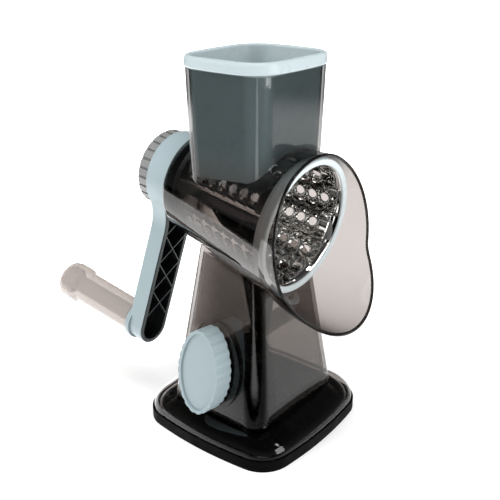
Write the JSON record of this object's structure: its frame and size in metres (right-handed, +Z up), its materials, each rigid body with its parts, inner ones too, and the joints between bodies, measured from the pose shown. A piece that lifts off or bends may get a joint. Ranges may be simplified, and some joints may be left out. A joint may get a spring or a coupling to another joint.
{
  "type": "rotary cheese grater",
  "caption": "Hand-cranked drum grater: smoked clear body with a square hopper, pusher, perforated steel drum, flared spout and a suction base locked by a side knob.",
  "frame": {"origin": "centre of the base's underside, on the table", "axes": "+Z up, mouth towards -Y, crank towards +Y, suction knob on the -X side"},
  "size_m": [0.1345, 0.269, 0.2772],
  "materials": {
    "smoked_body": "glossy smoked clear moulded plastic",
    "smoked_base": "glossy smoked clear moulded plastic, darker over the base",
    "black_rubber": "soft matt rubber",
    "black_plastic": "satin black moulding",
    "dark_acetal": "dark grey low-friction acetal",
    "screw_steel": "zinc plated steel",
    "drum_steel": "polished stainless sheet",
    "blue_plastic": "pale grey-blue satin moulding",
    "hub_plastic": "pale grey-blue satin moulding",
    "grey_plastic": "mid grey satin moulding",
    "grip_core": "taupe moulding",
    "grip_smoke": "frosted smoked plastic",
    "pusher_blue": "pale grey-blue satin moulding"
  },
  "bodies": {
    "root": {"housing": "smoked_body", "pedestal": "smoked_base", "foot_band": "black_rubber", "base_plate": "black_plastic", "base_screws": "screw_steel", "suction_sheet": "black_rubber", "stem_guide": "black_plastic", "suction_spring": "screw_steel", "knob_bushing": "black_plastic", "rear_bush": "dark_acetal", "tongue_screw": "screw_steel"},
    "crank": {"thrust_washer": "dark_acetal", "crank_shaft": "drum_steel", "crank_arm": "blue_plastic", "crank_tray": "black_plastic", "grip_spindle": "grip_core", "grip_washer": "screw_steel", "grip_screw": "screw_steel"},
    "lock": {"lock_nut": "grey_plastic"},
    "grip": {"grip_sleeve": "grip_smoke", "grip_end_cap": "grip_smoke"},
    "drum": {"drum_shell": "drum_steel", "drum_ring": "blue_plastic", "drum_hub": "hub_plastic"},
    "pusher": {"pusher": "pusher_blue"},
    "knob": {"suction_knob": "blue_plastic", "knob_shaft": "black_plastic", "shaft_clip": "screw_steel", "cam": "dark_acetal"},
    "stem": {"suction_stem": "dark_acetal", "stem_pin": "screw_steel"}
  },
  "joints": [
    {"name": "crank_spin", "type": "hinge", "parent": "root", "child": "crank", "pos_m": [0, 0, 0.17104], "axis": [0, 0.9901, 0.14], "continuous": true},
    {"name": "lock_turn", "type": "hinge", "parent": "crank", "child": "lock", "pos_m": [0, 0, 0.17104], "axis": [0, 0.9901, 0.14], "range_deg": [0, 90]},
    {"name": "grip_spin", "type": "hinge", "parent": "crank", "child": "grip", "pos_m": [-0.03005, 0.01714, 0.04988], "axis": [0, 0.9901, 0.14], "continuous": true},
    {"name": "drum_slide", "type": "slide", "parent": "crank", "child": "drum", "axis": [0, -0.9901, -0.14], "range_m": [0, 0.115]},
    {"name": "pusher_slide", "type": "slide", "parent": "root", "child": "pusher", "axis": [0, 0, 1], "range_m": [0, 0.1]},
    {"name": "knob_turn", "type": "hinge", "parent": "root", "child": "knob", "pos_m": [0, 0, 0.0546], "axis": [-0.9914, 0, 0.1305], "range_deg": [0, 90]},
    {"name": "stem_lift", "type": "slide", "parent": "root", "child": "stem", "axis": [0, 0, 1], "range_m": [0, 0.004], "deforming": ["suction_sheet", "suction_spring"]}
  ],
  "couplings": [
    {"joint": "knob_turn", "follows": "stem_lift", "rad_per_m": 392.7}
  ]
}
